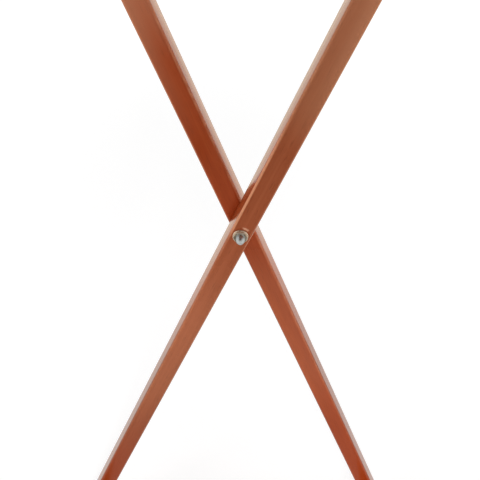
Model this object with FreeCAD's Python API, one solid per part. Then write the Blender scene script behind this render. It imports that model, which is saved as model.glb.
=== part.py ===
import FreeCAD, Part
import math
import os

# A butler's tray table: a tray that lifts off a stand of two frames, crossed and pivoted like scissors.
# Origin on the floor under the middle of the tray. X is the way the legs spread, Y runs along the
# pivot axis, Z is up. Lengths are in millimetres, angles in degrees.
# The outer frame's legs lean to -X at the top, the inner frame's to +X.

V = FreeCAD.Vector
ORIGIN = V(0, 0, 0)
X_AXIS = V(1, 0, 0)
Y_AXIS = V(0, 1, 0)
Z_AXIS = V(0, 0, 1)
FULL_TURN = 360.0
PARALLEL_SHARE = 1e-6

# Stance of the stand, with its straps tight
LEG_LEAN = 22.17
CROSSING_HEIGHT = 440.0  # where the middle lines of two crossed legs meet
PIVOT_RAISE = 3.0  # the bolts sit this far above that point
PIVOT_SIDE = 1.0  # and this far beside it, towards the upper ends of the inner legs
CROSSING_SPACING = 460.0  # between the two planes in which the legs cross
UPPER_REACH = 305.0  # along a leg, from the crossing to the underside of its top rail

# Legs
LEG_WIDTH = 17.0
LEG_DEPTH = 20.0
LEG_EDGE_RADIUS = 2.5

# Pegged tenons that join the legs to the top rails
TENON_WIDTH = 8.0
TENON_DEPTH = 13.0
TENON_LENGTH = 17.0
PEG_DIAMETER = 5.0

# Top rails, round along the top
RAIL_WIDTH = 20.0
RAIL_HEIGHT = 30.0
RAIL_OVERHANG = 10.0
RAIL_EDGE_RADIUS = 2.0

# Stretchers near the floor, with round tenons
STRETCHER_HEIGHT = 56.0
STRETCHER_WIDTH = 12.0
STRETCHER_DEPTH = 18.0
STRETCHER_EDGE_RADIUS = 2.5
STRETCHER_TENON_DIAMETER = 9.0
STRETCHER_TENON_LENGTH = 12.0

# Nailed glides under the legs
GLIDE_DIAMETER = 14.0
GLIDE_THICKNESS = 3.5
GLIDE_CHAMFER = 1.0
GLIDE_NAIL_DIAMETER = 2.4
GLIDE_NAIL_LENGTH = 12.0
GLIDE_NAIL_POINT = 2.5

# Pivot hardware: a bolt with a mushroom head outside and a low cap nut inside
BOLT_DIAMETER = 6.0
BOLT_HEAD_DIAMETER = 10.5
BOLT_HEAD_HEIGHT = 3.3
BOLT_END_CHAMFER = 0.6
WASHER_DIAMETER = 12.0
WASHER_THICKNESS = 1.6
WASHER_CHAMFER = 0.2
SPACER_DIAMETER = 11.0
SPACER_THICKNESS = 1.0
NUT_ACROSS_FLATS = 10.0
NUT_HEX_HEIGHT = 5.6
NUT_CORNER_CHAMFER = 0.7
NUT_DOME_DIAMETER = 7.6
NUT_DOME_HEIGHT = 2.4
NUT_GRIP = 5.2  # length of bolt inside the nut

# Webbing straps over the top rails, tacked to the rails' outer sides
STRAP_COUNT = 3
STRAP_WIDTH = 38.0
STRAP_THICKNESS = 1.6
STRAP_TURN = 17.0  # down the side of the rail, from the middle of its round top
STRAP_SPREAD_SHARE = 0.7  # first to last strap, as a share of the rail's length
TACKS_PER_STRAP = 2
TACK_SPACING = 20.0
TACK_HEAD_DIAMETER = 8.0
TACK_HEAD_HEIGHT = 2.0
TACK_SHANK_DIAMETER = 1.8
TACK_SHANK_LENGTH = 11.0

# Tray
TRAY_WIDTH = 420.0
TRAY_LENGTH = 620.0
BOARD_THICKNESS = 12.0
GALLERY_HEIGHT = 55.0
TOP_ROUND = 3.0
PANEL_THICKNESS = 6.0
PANEL_SETBACK = 8.0  # underside of the panel above the lower edge of the boards
GROOVE_DEPTH = 6.0

# Raised middle of the end boards, with a hand-hold
CREST_HEIGHT = 90.0
CREST_LENGTH = 150.0
SWEEP_LENGTH = 70.0  # length of the curve from the gallery up to the crest
HANDHOLD_LENGTH = 104.0
HANDHOLD_HEIGHT = 30.0
HANDHOLD_GRIP = 20.0  # wood left above the hand-hold
HANDHOLD_ROUND = 3.5

# Through dovetails at the tray's corners
TAIL_COUNT = 3
HALF_PIN_HEIGHT = 6.0
TAIL_WIDTH_SHARE = 0.86  # of the room between the half pins, per tail
TAIL_SLOPE_SHARE = 0.15  # rise of a tail's side over the thickness of the board

# Cleats under the tray, which drop outside the rails
CLEAT_WIDTH = 18.0
CLEAT_LENGTH = 480.0
CLEAT_EDGE_RADIUS = 1.5
CLEAT_SCREW_COUNT = 3
CLEAT_SCREW_INSET = 60.0
SCREW_DIAMETER = 3.5
SCREW_HEAD_DIAMETER = 7.0
SCREW_HEAD_HEIGHT = 2.0
SCREW_BITE = 4.0  # length of screw in the panel

# Clearances
PIVOT_CLEARANCE = 0.08  # radial, between a leg's hole and its bolt
WASHER_CLEARANCE = 0.2  # radial, between a washer and its bolt
GLUE_GAP = 0.1
PANEL_PLAY = 0.5  # between the panel's edge and the bottom of its groove
STRAP_GAP = 0.2  # between a strap and the rail under it
TRAY_SEAT_GAP = 0.3  # between the straps and the panel that rests on them
CLEAT_CLEARANCE = 2.0  # between a cleat and the strap round the rail beside it
CUT_OVERRUN = 5.0

# Worked out from the sizes above
LEAN = math.radians(LEG_LEAN)
PIVOT_HEIGHT = CROSSING_HEIGHT + PIVOT_RAISE
OUTER_NEAR = CROSSING_SPACING / 2 + SPACER_THICKNESS / 2  # inner face of a rear outer leg
INNER_NEAR = CROSSING_SPACING / 2 - SPACER_THICKNESS / 2 - LEG_DEPTH  # inner face of a rear inner leg
RAIL_LENGTH = 2 * (OUTER_NEAR + LEG_DEPTH + RAIL_OVERHANG)
CROWN = UPPER_REACH + RAIL_HEIGHT - RAIL_WIDTH / 2  # crossing to the middle of the rail's round top
CROWN_X = CROWN * math.sin(LEAN)
CROWN_Z = CROSSING_HEIGHT + CROWN * math.cos(LEAN)
STRAP_INSIDE = RAIL_WIDTH / 2 + STRAP_GAP
STRAP_OUTSIDE = STRAP_INSIDE + STRAP_THICKNESS
PANEL_LOW = CROWN_Z + STRAP_OUTSIDE + TRAY_SEAT_GAP
PANEL_HIGH = PANEL_LOW + PANEL_THICKNESS
TRAY_LOW = PANEL_LOW - PANEL_SETBACK
HALF_WIDTH = TRAY_WIDTH / 2
HALF_LENGTH = TRAY_LENGTH / 2
INSIDE_X = HALF_WIDTH - BOARD_THICKNESS
INSIDE_Y = HALF_LENGTH - BOARD_THICKNESS
CLEAT_INSIDE = CROWN_X + STRAP_OUTSIDE + CLEAT_CLEARANCE
CLEAT_MIDDLE = CLEAT_INSIDE + CLEAT_WIDTH / 2

OUTER = -1  # the way a frame leans at the top, along X
INNER = 1
ENDS = {"front": -1, "rear": 1}
HANDS = {"left": -1, "right": 1}


def block(low, high):
    """A box between two opposite corners."""
    size = high.sub(low)
    return Part.makeBox(size.x, size.y, size.z, low)


def runs_along(edge, axis):
    """Whether an edge is straight and parallel to an axis."""
    if not isinstance(edge.Curve, Part.Line):
        return False
    return edge.Curve.Direction.cross(axis).Length < PARALLEL_SHARE


def soften(bar, axis, radius):
    """Round the long edges of a bar."""
    return bar.makeFillet(radius, [edge for edge in bar.Edges if runs_along(edge, axis)])


def outline_face(edges):
    """A flat face inside a closed chain of lines and arcs."""
    return Part.Face(Part.Wire([edge.toShape() for edge in edges]))


def line_chain(points):
    """Straight lines through points, one after another."""
    return [Part.LineSegment(start, end) for start, end in zip(points, points[1:])]


def dome_arc(place, radius, height, way):
    """Arc of a low dome's section, from its rim to its top. place(radius, along) gives a point."""
    ball = (radius ** 2 + height ** 2) / (2 * height)
    half_angle = math.asin(radius / ball) / 2
    middle = place(ball * math.sin(half_angle), way * (height - ball + ball * math.cos(half_angle)))
    return Part.Arc(place(radius, 0), middle, place(0, way * height))


def both_ends(rear):
    """The rear piece and its mirror image at the front, by name."""
    return {"front": rear.mirror(ORIGIN, Y_AXIS), "rear": rear}


def lean_out(piece, side):
    """Lean a frame's piece, drawn upright about the crossing, to its place in the open stand."""
    placed = piece.copy()
    placed.rotate(ORIGIN, Y_AXIS, side * LEG_LEAN)
    placed.translate(V(0, 0, CROSSING_HEIGHT))
    return placed


def tenon(near, gap):
    """The tenon on a rear leg's upright top, or with a gap the mortise for it."""
    middle = near + LEG_DEPTH / 2
    low = V(-TENON_WIDTH / 2 - gap, middle - TENON_DEPTH / 2 - gap, UPPER_REACH)
    high = V(TENON_WIDTH / 2 + gap, middle + TENON_DEPTH / 2 + gap, UPPER_REACH + TENON_LENGTH + gap)
    return block(low, high)


def rail_peg(near, gap):
    """The peg through a rear tenon and its rail, or with a gap the hole for it."""
    start = V(-RAIL_WIDTH / 2, near + LEG_DEPTH / 2, UPPER_REACH + TENON_LENGTH / 2)
    return Part.makeCylinder(PEG_DIAMETER / 2 + gap, RAIL_WIDTH, start, X_AXIS)


def stretcher_drop():
    """Along a leg, from the crossing down to the middle of the stretcher."""
    return (CROSSING_HEIGHT - STRETCHER_HEIGHT) / math.cos(LEAN)


def stretcher_tenon(near, gap):
    """The round tenon of a stretcher in a rear leg, or with a gap the bore for it."""
    start = V(0, near, -stretcher_drop())
    return Part.makeCylinder(STRETCHER_TENON_DIAMETER / 2 + gap, STRETCHER_TENON_LENGTH + gap, start, Y_AXIS)


def foot_place(near, side):
    """The middle of a rear leg's foot, on the floor."""
    away = (CROSSING_HEIGHT - GLIDE_THICKNESS) * math.tan(LEAN)
    return V(-side * away, near + LEG_DEPTH / 2, 0)


def glide_nail_points(gap):
    """Section of a glide's nail, or with a gap of the hole for it, as radius and height."""
    radius = GLIDE_NAIL_DIAMETER / 2 + gap
    top = GLIDE_THICKNESS + GLIDE_NAIL_LENGTH
    return [V(radius, 0, GLIDE_THICKNESS), V(radius, 0, top), V(0, 0, top + GLIDE_NAIL_POINT + gap)]


def turn_about_z(points, place):
    """A solid turned about a vertical axis at a place."""
    solid = outline_face(line_chain(points + points[:1])).revolve(ORIGIN, Z_AXIS, FULL_TURN)
    solid.translate(place)
    return solid


def glide(near, side):
    """A glide with its nail, under a rear leg."""
    radius = GLIDE_DIAMETER / 2
    disc = [ORIGIN, V(radius - GLIDE_CHAMFER, 0, 0), V(radius, 0, GLIDE_CHAMFER)]
    disc.append(V(radius, 0, GLIDE_THICKNESS))
    return turn_about_z(disc + glide_nail_points(0), foot_place(near, side))


def leg(near, side):
    """A rear leg: tenon on top, level foot, and holes for the pivot, stretcher, peg and glide."""
    below = CROSSING_HEIGHT / math.cos(LEAN) + LEG_WIDTH
    bar = block(V(-LEG_WIDTH / 2, near, -below), V(LEG_WIDTH / 2, near + LEG_DEPTH, UPPER_REACH))
    bar = soften(bar, Z_AXIS, LEG_EDGE_RADIUS).fuse(tenon(near, 0))
    leaned = lean_out(bar.cut([stretcher_tenon(near, GLUE_GAP), rail_peg(near, GLUE_GAP)]), side)
    pivot_start = V(PIVOT_SIDE, near - CUT_OVERRUN, PIVOT_HEIGHT)
    pivot_radius = BOLT_DIAMETER / 2 + PIVOT_CLEARANCE
    bore = Part.makeCylinder(pivot_radius, LEG_DEPTH + 2 * CUT_OVERRUN, pivot_start, Y_AXIS)
    foot = foot_place(near, side)
    reach = V(below, CROSSING_SPACING, 0)
    ground = block(foot - reach - V(0, 0, below), foot + reach + V(0, 0, GLIDE_THICKNESS))
    nail = turn_about_z([V(0, 0, GLIDE_THICKNESS)] + glide_nail_points(GLUE_GAP), foot)
    return leaned.cut([bore, ground, nail])


def top_rail(near, side):
    """A rail with a round top, mortised for the legs and bored for the pegs and tacks."""
    half = RAIL_WIDTH / 2
    start = -RAIL_LENGTH / 2
    left_low = V(-half, start, UPPER_REACH)
    right_low = V(half, start, UPPER_REACH)
    left_high = V(-half, start, CROWN)
    right_high = V(half, start, CROWN)
    section = line_chain([left_high, left_low, right_low, right_high])
    section.append(Part.Arc(right_high, V(0, start, CROWN + half), left_high))
    bar = outline_face(section).extrude(V(0, RAIL_LENGTH, 0))
    edges = []
    for edge in bar.Edges:
        middle = edge.CenterOfMass
        at_end = abs(abs(middle.y) - RAIL_LENGTH / 2) < RAIL_EDGE_RADIUS
        at_bottom = runs_along(edge, Y_AXIS) and middle.z < CROWN - half
        if at_end or at_bottom:
            edges.append(edge)
    bar = bar.makeFillet(RAIL_EDGE_RADIUS, edges)
    holes = []
    for cut in (tenon(near, GLUE_GAP), rail_peg(near, GLUE_GAP)):
        holes.extend(both_ends(cut).values())
    holes.extend(tack_shank(side, y, GLUE_GAP) for y in tack_places())
    return lean_out(bar.cut(holes), side)


def stretcher(near, side):
    """A rounded bar between two legs, with a round tenon at each end."""
    drop = -stretcher_drop()
    half = V(STRETCHER_WIDTH / 2, near, STRETCHER_DEPTH / 2)
    middle = V(0, 0, drop)
    bar = soften(block(middle - half, middle + half), Y_AXIS, STRETCHER_EDGE_RADIUS)
    return lean_out(bar.fuse(list(both_ends(stretcher_tenon(near, 0)).values())), side)


def strap_places():
    """Middle of each strap along Y."""
    spread = STRAP_SPREAD_SHARE * RAIL_LENGTH
    return [spread * (number / (STRAP_COUNT - 1) - 1 / 2) for number in range(STRAP_COUNT)]


def tack_places():
    """Place of each tack along Y."""
    across = [TACK_SPACING * (number - (TACKS_PER_STRAP - 1) / 2) for number in range(TACKS_PER_STRAP)]
    return [strap + offset for strap in strap_places() for offset in across]


def strap_end(side, y):
    """One end of a strap: over the round top of its rail and down the outer side."""
    low = CROWN - STRAP_TURN
    start = y - STRAP_WIDTH / 2

    def around(radius, angle):
        return V(side * radius * math.sin(angle), start, CROWN + radius * math.cos(angle))

    level = -LEAN  # where the strap leaves the rail level
    side_on = math.pi / 2
    halfway = (level + side_on) / 2
    outer_low = V(side * STRAP_OUTSIDE, start, low)
    inner_low = V(side * STRAP_INSIDE, start, low)
    outer_arc = Part.Arc(*[around(STRAP_OUTSIDE, angle) for angle in (level, halfway, side_on)])
    inner_arc = Part.Arc(*[around(STRAP_INSIDE, angle) for angle in (side_on, halfway, level)])
    outer_top = around(STRAP_OUTSIDE, side_on)
    inner_top = around(STRAP_INSIDE, side_on)
    section = [outer_arc]
    section.extend(line_chain([outer_top, outer_low, inner_low, inner_top]))
    section.append(inner_arc)
    section.extend(line_chain([around(STRAP_INSIDE, level), around(STRAP_OUTSIDE, level)]))
    band = outline_face(section).extrude(V(0, STRAP_WIDTH, 0))
    holes = [tack_shank(side, place, GLUE_GAP) for place in tack_places() if abs(place - y) < STRAP_WIDTH / 2]
    return lean_out(band.cut(holes), side)


def strap_span(y):
    """The tight, level stretch of a strap between the two rails."""
    low = V(-CROWN_X, y - STRAP_WIDTH / 2, CROWN_Z + STRAP_INSIDE)
    high = V(CROWN_X, y + STRAP_WIDTH / 2, CROWN_Z + STRAP_OUTSIDE)
    return block(low, high)


def tack_shank(side, y, gap):
    """The shank of a tack in the outer side of a rail, or with a gap the hole for it."""
    start = V(side * STRAP_OUTSIDE, y, CROWN - STRAP_TURN / 2)
    return Part.makeCylinder(TACK_SHANK_DIAMETER / 2 + gap, TACK_SHANK_LENGTH + gap, start, X_AXIS * -side)


def tack(side, y):
    """A round-headed tack through a strap end into its rail."""
    height = CROWN - STRAP_TURN / 2

    def place(radius, along):
        return V(side * (STRAP_OUTSIDE + along), y, height + radius)

    section = [dome_arc(place, TACK_HEAD_DIAMETER / 2, TACK_HEAD_HEIGHT, 1)]
    section.extend(line_chain([place(0, TACK_HEAD_HEIGHT), place(0, 0), place(TACK_HEAD_DIAMETER / 2, 0)]))
    head = outline_face(section).revolve(place(0, 0), X_AXIS, FULL_TURN)
    return lean_out(head.fuse(tack_shank(side, y, 0)).removeSplitter(), side)


def pivot_place(start):
    """Points by radius from the pivot axis and distance along Y from a start."""

    def place(radius, along):
        return V(PIVOT_SIDE + radius, start + along, PIVOT_HEIGHT)

    return place


def turn_about_pivot(section):
    """A solid turned about the pivot axis."""
    return outline_face(section).revolve(V(PIVOT_SIDE, 0, PIVOT_HEIGHT), Y_AXIS, FULL_TURN)


def ring(start, thickness, diameter):
    """A washer on the pivot axis, with chamfered rims."""
    place = pivot_place(start)
    hole = BOLT_DIAMETER / 2 + WASHER_CLEARANCE
    rim = diameter / 2
    flat = rim - WASHER_CHAMFER
    points = [place(hole, 0), place(flat, 0), place(rim, WASHER_CHAMFER)]
    points += [place(rim, thickness - WASHER_CHAMFER), place(flat, thickness), place(hole, thickness)]
    points.append(place(hole, 0))
    return turn_about_pivot(line_chain(points))


def nut_base():
    """Where the rear cap nut meets its washer, along Y."""
    return INNER_NEAR - WASHER_THICKNESS


def head_base():
    """Where the rear bolt's head meets its washer, along Y."""
    return OUTER_NEAR + LEG_DEPTH + WASHER_THICKNESS


def pivot_bolt():
    """The rear pivot bolt, with its mushroom head outside the stand."""
    place = pivot_place(head_base())
    radius = BOLT_DIAMETER / 2
    end = nut_base() - NUT_GRIP - head_base()
    section = line_chain([
        place(0, BOLT_HEAD_HEIGHT), place(0, end), place(radius - BOLT_END_CHAMFER, end),
        place(radius, end + BOLT_END_CHAMFER), place(radius, 0), place(BOLT_HEAD_DIAMETER / 2, 0)])
    section.append(dome_arc(place, BOLT_HEAD_DIAMETER / 2, BOLT_HEAD_HEIGHT, 1))
    return turn_about_pivot(section)


def cap_nut():
    """The rear cap nut: a hexagon with a flat upwards, its corners turned off, under a low dome."""
    corner = NUT_ACROSS_FLATS / math.sqrt(3)
    base = nut_base()
    points = []
    for number in range(7):
        angle = math.pi / 6 + number * math.pi / 3
        sideways = PIVOT_SIDE + corner * math.sin(angle)
        points.append(V(sideways, base, PIVOT_HEIGHT + corner * math.cos(angle)))
    hexagon = outline_face(line_chain(points)).extrude(V(0, -NUT_HEX_HEIGHT, 0))
    place = pivot_place(base)
    top = -NUT_HEX_HEIGHT
    turned = [place(0, 0), place(corner, 0), place(corner, top + NUT_CORNER_CHAMFER)]
    turned += [place(NUT_DOME_DIAMETER / 2, top), place(0, top), place(0, 0)]
    body = hexagon.common(turn_about_pivot(line_chain(turned)))
    dome_place = pivot_place(base + top)
    rim = NUT_DOME_DIAMETER / 2
    dome = [dome_arc(dome_place, rim, NUT_DOME_HEIGHT, -1)]
    dome += line_chain([dome_place(0, -NUT_DOME_HEIGHT), dome_place(0, 0), dome_place(rim, 0)])
    thread = Part.makeCylinder(BOLT_DIAMETER / 2 + GLUE_GAP, NUT_GRIP + GLUE_GAP, place(0, 0), -Y_AXIS)
    return body.fuse(turn_about_pivot(dome)).removeSplitter().cut(thread)


def tail_faces(hand, end):
    """The flared ends of a side board's tails at one corner of the tray, as solids."""
    room = (GALLERY_HEIGHT - 2 * HALF_PIN_HEIGHT) / TAIL_COUNT
    wide = TAIL_WIDTH_SHARE * room / 2
    narrow = wide - TAIL_SLOPE_SHARE * BOARD_THICKNESS
    tails = []
    for number in range(TAIL_COUNT):
        middle = TRAY_LOW + HALF_PIN_HEIGHT + room * (number + 1 / 2)
        corners = [(INSIDE_Y, -narrow), (HALF_LENGTH, -wide), (HALF_LENGTH, wide), (INSIDE_Y, narrow)]
        points = [V(hand * INSIDE_X, end * y, middle + rise) for y, rise in corners + corners[:1]]
        tails.append(outline_face(line_chain(points)).extrude(V(hand * BOARD_THICKNESS, 0, 0)))
    return tails


def side_board(hand):
    """A long side of the tray: round top edge, groove for the panel, and tails at both ends."""
    low = V(min(hand * INSIDE_X, hand * HALF_WIDTH), -INSIDE_Y, TRAY_LOW)
    high = V(max(hand * INSIDE_X, hand * HALF_WIDTH), INSIDE_Y, TRAY_LOW + GALLERY_HEIGHT)
    board = block(low, high)
    tops = [edge for edge in board.Edges if runs_along(edge, Y_AXIS) and edge.CenterOfMass.z > PANEL_HIGH]
    board = board.makeFillet(TOP_ROUND, tops)
    reach = INSIDE_X + GROOVE_DEPTH
    groove = block(V(-reach, -INSIDE_Y, PANEL_LOW), V(reach, INSIDE_Y, PANEL_HIGH))
    tails = []
    for end in ENDS.values():
        tails.extend(tail_faces(hand, end))
    return board.cut(groove).fuse(tails).removeSplitter()


def sweep_up(hand, y):
    """The two arcs that carry an end board's top edge from the gallery up to the crest."""
    rise = CREST_HEIGHT - GALLERY_HEIGHT
    radius = (SWEEP_LENGTH ** 2 + rise ** 2) / (4 * rise)
    turn = 2 * math.atan(rise / SWEEP_LENGTH)
    foot_x = CREST_LENGTH / 2 + SWEEP_LENGTH
    gallery = TRAY_LOW + GALLERY_HEIGHT
    crest = TRAY_LOW + CREST_HEIGHT

    def hollow(angle):
        x = foot_x - radius * math.sin(angle)
        return V(hand * x, y, gallery + radius * (1 - math.cos(angle)))

    def swell(angle):
        x = CREST_LENGTH / 2 + radius * math.sin(angle)
        return V(hand * x, y, crest - radius * (1 - math.cos(angle)))

    lower = Part.Arc(hollow(0), hollow(turn / 2), hollow(turn))
    upper = Part.Arc(hollow(turn), swell(turn / 2), swell(0))
    return lower, upper


def handhold(y):
    """The slot for the fingers in an end board, with half-round ends."""
    half = HANDHOLD_HEIGHT / 2
    straight = HANDHOLD_LENGTH / 2 - half
    middle = TRAY_LOW + CREST_HEIGHT - HANDHOLD_GRIP - half
    corners = [V(x, y, middle + rise) for x, rise in
               ((-straight, -half), (straight, -half), (straight, half), (-straight, half))]
    section = line_chain(corners[:2])
    section.append(Part.Arc(corners[1], V(straight + half, y, middle), corners[2]))
    section.extend(line_chain(corners[2:]))
    section.append(Part.Arc(corners[3], V(-straight - half, y, middle), corners[0]))
    return outline_face(section).extrude(V(0, BOARD_THICKNESS, 0))


def end_board(end):
    """A short side of the tray: raised middle, hand-hold, groove, and sockets for the tails."""
    y = min(end * INSIDE_Y, end * HALF_LENGTH)
    gallery = TRAY_LOW + GALLERY_HEIGHT
    crest = TRAY_LOW + CREST_HEIGHT
    foot_x = CREST_LENGTH / 2 + SWEEP_LENGTH
    right_lower, right_upper = sweep_up(1, y)
    left_lower, left_upper = sweep_up(-1, y)
    section = line_chain([
        V(-foot_x, y, gallery), V(-HALF_WIDTH, y, gallery), V(-HALF_WIDTH, y, TRAY_LOW),
        V(HALF_WIDTH, y, TRAY_LOW), V(HALF_WIDTH, y, gallery), V(foot_x, y, gallery)])
    section += [right_lower, right_upper]
    section += line_chain([V(CREST_LENGTH / 2, y, crest), V(-CREST_LENGTH / 2, y, crest)])
    section += [left_upper, left_lower]
    board = outline_face(section).extrude(V(0, BOARD_THICKNESS, 0))
    tops = []
    for edge in board.Edges:
        flat = edge.BoundBox.YLength < PARALLEL_SHARE * TRAY_LENGTH
        if flat and edge.BoundBox.ZMin > PANEL_HIGH:
            tops.append(edge)
    board = board.makeFillet(TOP_ROUND, tops)
    slot = handhold(y)
    board = board.cut(slot)
    rims = []
    for edge in board.Edges:
        box = edge.BoundBox
        flat = box.YLength < PARALLEL_SHARE * TRAY_LENGTH
        if flat and slot.BoundBox.isInside(edge.CenterOfMass):
            rims.append(edge)
    board = board.makeFillet(HANDHOLD_ROUND, rims)
    reach = INSIDE_Y + GROOVE_DEPTH
    groove = block(V(-INSIDE_X, -reach, PANEL_LOW), V(INSIDE_X, reach, PANEL_HIGH))
    sockets = [groove]
    for hand in HANDS.values():
        sockets.extend(tail_faces(hand, end))
    return board.cut(sockets)


def cleat_screw_places():
    """Middle of each cleat screw along Y."""
    spread = CLEAT_LENGTH - 2 * CLEAT_SCREW_INSET
    return [spread * (number / (CLEAT_SCREW_COUNT - 1) - 1 / 2) for number in range(CLEAT_SCREW_COUNT)]


def cleat_screw(hand, y, gap):
    """A countersunk screw up through a cleat into the panel, or with a gap the hole for it."""
    head = SCREW_HEAD_DIAMETER / 2 + gap
    shank = SCREW_DIAMETER / 2 + gap
    top = PANEL_SETBACK + SCREW_BITE + gap
    points = [ORIGIN, V(head, 0, 0), V(shank, 0, SCREW_HEAD_HEIGHT), V(shank, 0, top), V(0, 0, top)]
    return turn_about_z(points, V(hand * CLEAT_MIDDLE, y, TRAY_LOW))


def panel():
    """The tray's base, notched at its corners and bored for the cleat screws."""
    lip = GROOVE_DEPTH - PANEL_PLAY
    along = block(V(-INSIDE_X, -INSIDE_Y - lip, PANEL_LOW), V(INSIDE_X, INSIDE_Y + lip, PANEL_HIGH))
    across = block(V(-INSIDE_X - lip, -INSIDE_Y, PANEL_LOW), V(INSIDE_X + lip, INSIDE_Y, PANEL_HIGH))
    holes = [cleat_screw(hand, y, GLUE_GAP) for hand in HANDS.values() for y in cleat_screw_places()]
    return along.fuse(across).removeSplitter().cut(holes)


def cleat(hand):
    """A cleat under the tray, countersunk for its screws."""
    half = V(CLEAT_WIDTH / 2, CLEAT_LENGTH / 2, 0)
    middle = V(hand * CLEAT_MIDDLE, 0, 0)
    bar = block(middle - half + V(0, 0, TRAY_LOW), middle + half + V(0, 0, PANEL_LOW))
    long_edges = [edge for edge in bar.Edges if runs_along(edge, Y_AXIS)]
    lower = [edge for edge in long_edges if edge.CenterOfMass.z < PANEL_LOW - CLEAT_EDGE_RADIUS]
    bar = bar.makeFillet(CLEAT_EDGE_RADIUS, lower)
    return bar.cut([cleat_screw(hand, y, GLUE_GAP) for y in cleat_screw_places()])


def frame_nodes(name, near, side):
    """One folding frame of the stand with what is fixed to it."""
    nodes = {}
    for end, piece in both_ends(leg(near, side)).items():
        nodes[f"{name}_leg_{end}"] = piece
    nodes[f"{name}_top_rail"] = top_rail(near, side)
    nodes[f"{name}_stretcher"] = stretcher(near, side)
    pegs = both_ends(lean_out(rail_peg(near, 0), side))
    nodes[f"{name}_rail_pegs"] = Part.makeCompound(list(pegs.values()))
    for end, piece in both_ends(glide(near, side)).items():
        nodes[f"{name}_glide_{end}"] = piece
    nodes[f"{name}_strap_ends"] = Part.makeCompound([strap_end(side, y) for y in strap_places()])
    nodes[f"{name}_strap_tacks"] = Part.makeCompound([tack(side, y) for y in tack_places()])
    return nodes


def pivot_nodes():
    """The bolts, washers and cap nuts on which the frames turn."""
    head_washer_start = head_base() - WASHER_THICKNESS
    spacer_start = OUTER_NEAR - SPACER_THICKNESS
    pieces = {
        "pivot_bolt": pivot_bolt(),
        "cap_nut": cap_nut(),
        "nut_washer": ring(nut_base(), WASHER_THICKNESS, WASHER_DIAMETER),
        "head_washer": ring(head_washer_start, WASHER_THICKNESS, WASHER_DIAMETER),
        "spacer_washer": ring(spacer_start, SPACER_THICKNESS, SPACER_DIAMETER),
    }
    nodes = {}
    for name, rear in pieces.items():
        for end, piece in both_ends(rear).items():
            nodes[f"{name}_{end}"] = piece
    return nodes


def strap_nodes():
    """The stretches of strap between the rails."""
    return {f"strap_span_{number}": strap_span(y) for number, y in enumerate(strap_places(), 1)}


def tray_nodes():
    """The tray with its cleats."""
    nodes = {"tray_panel": panel()}
    for name, hand in HANDS.items():
        nodes[f"tray_side_{name}"] = side_board(hand)
        nodes[f"tray_cleat_{name}"] = cleat(hand)
    for name, end in ENDS.items():
        nodes[f"tray_end_{name}"] = end_board(end)
    screws = [cleat_screw(hand, y, 0) for hand in HANDS.values() for y in cleat_screw_places()]
    nodes["cleat_screws"] = Part.makeCompound(screws)
    return nodes


def build():
    """All pieces of the table, by name."""
    nodes = frame_nodes("outer", OUTER_NEAR, OUTER)
    nodes.update(frame_nodes("inner", INNER_NEAR, INNER))
    nodes.update(pivot_nodes())
    nodes.update(strap_nodes())
    nodes.update(tray_nodes())
    return nodes


os.makedirs("parts", exist_ok=True)
for node_name, shape in build().items():
    shape.exportStep(f"parts/{node_name}.step")
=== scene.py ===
import math

import bmesh
import bpy
from mathutils import Matrix, Vector


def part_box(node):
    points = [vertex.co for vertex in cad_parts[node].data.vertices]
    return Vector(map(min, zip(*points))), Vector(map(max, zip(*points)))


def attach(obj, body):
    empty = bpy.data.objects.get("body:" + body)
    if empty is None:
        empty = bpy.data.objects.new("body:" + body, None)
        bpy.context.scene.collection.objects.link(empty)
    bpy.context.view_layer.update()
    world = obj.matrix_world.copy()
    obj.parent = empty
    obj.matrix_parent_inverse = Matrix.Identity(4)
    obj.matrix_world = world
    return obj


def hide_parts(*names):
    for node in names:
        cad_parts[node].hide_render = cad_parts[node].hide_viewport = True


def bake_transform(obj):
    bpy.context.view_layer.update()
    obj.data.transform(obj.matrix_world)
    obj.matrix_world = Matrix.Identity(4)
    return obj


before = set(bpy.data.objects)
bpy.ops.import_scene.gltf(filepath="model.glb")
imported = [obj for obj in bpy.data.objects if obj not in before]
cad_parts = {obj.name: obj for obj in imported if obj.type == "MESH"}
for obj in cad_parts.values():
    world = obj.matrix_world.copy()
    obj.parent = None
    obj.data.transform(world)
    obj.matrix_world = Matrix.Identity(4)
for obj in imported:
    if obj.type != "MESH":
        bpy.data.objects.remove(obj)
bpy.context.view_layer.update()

MM = 0.001
ENDS = ("front", "rear")

# Sizes that the frame's boxes don't give, as in the part
LEAN = math.radians(22.17)
CROSSING_HEIGHT = 440 * MM
RAIL_RADIUS = 10 * MM
STRAP_GAP = 0.2 * MM
STRAP_TURN = 17 * MM
PIVOT_RAISE = 3.0 * MM
PIVOT_SIDE = 1.0 * MM

# The camera stands inside the stand and looks at the rear crossing
PHOTO_PIXELS = 480
FOCAL_PIXELS = 607.04
SENSOR_WIDTH = 36.0
CAMERA_SIDE = 7.62 * MM
CAMERA_BACK = 394.64 * MM
CAMERA_RISE = 283.79 * MM
CAMERA_YAW = math.radians(-1.063)
CAMERA_PITCH = math.radians(37.275)
CAMERA_ROLL = math.radians(1.130)
CAMERA_NEAR = 10 * MM

# The cap nut as the photograph shows it: a tall dome on a low hexagon
NUT_HEX_HEIGHT = 1.4 * MM
NUT_HEIGHT = 7.8 * MM
NUT_DOME_RADIUS = 3.5 * MM
NUT_DOME_FULLNESS = 2.8
NUT_FACE_SHARE = 0.95
NUT_CHAMFER = math.radians(30)
NUT_FLAT_TURN = math.radians(60)
NUT_AROUND = 72
NUT_DOME_STEPS = 20

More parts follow.
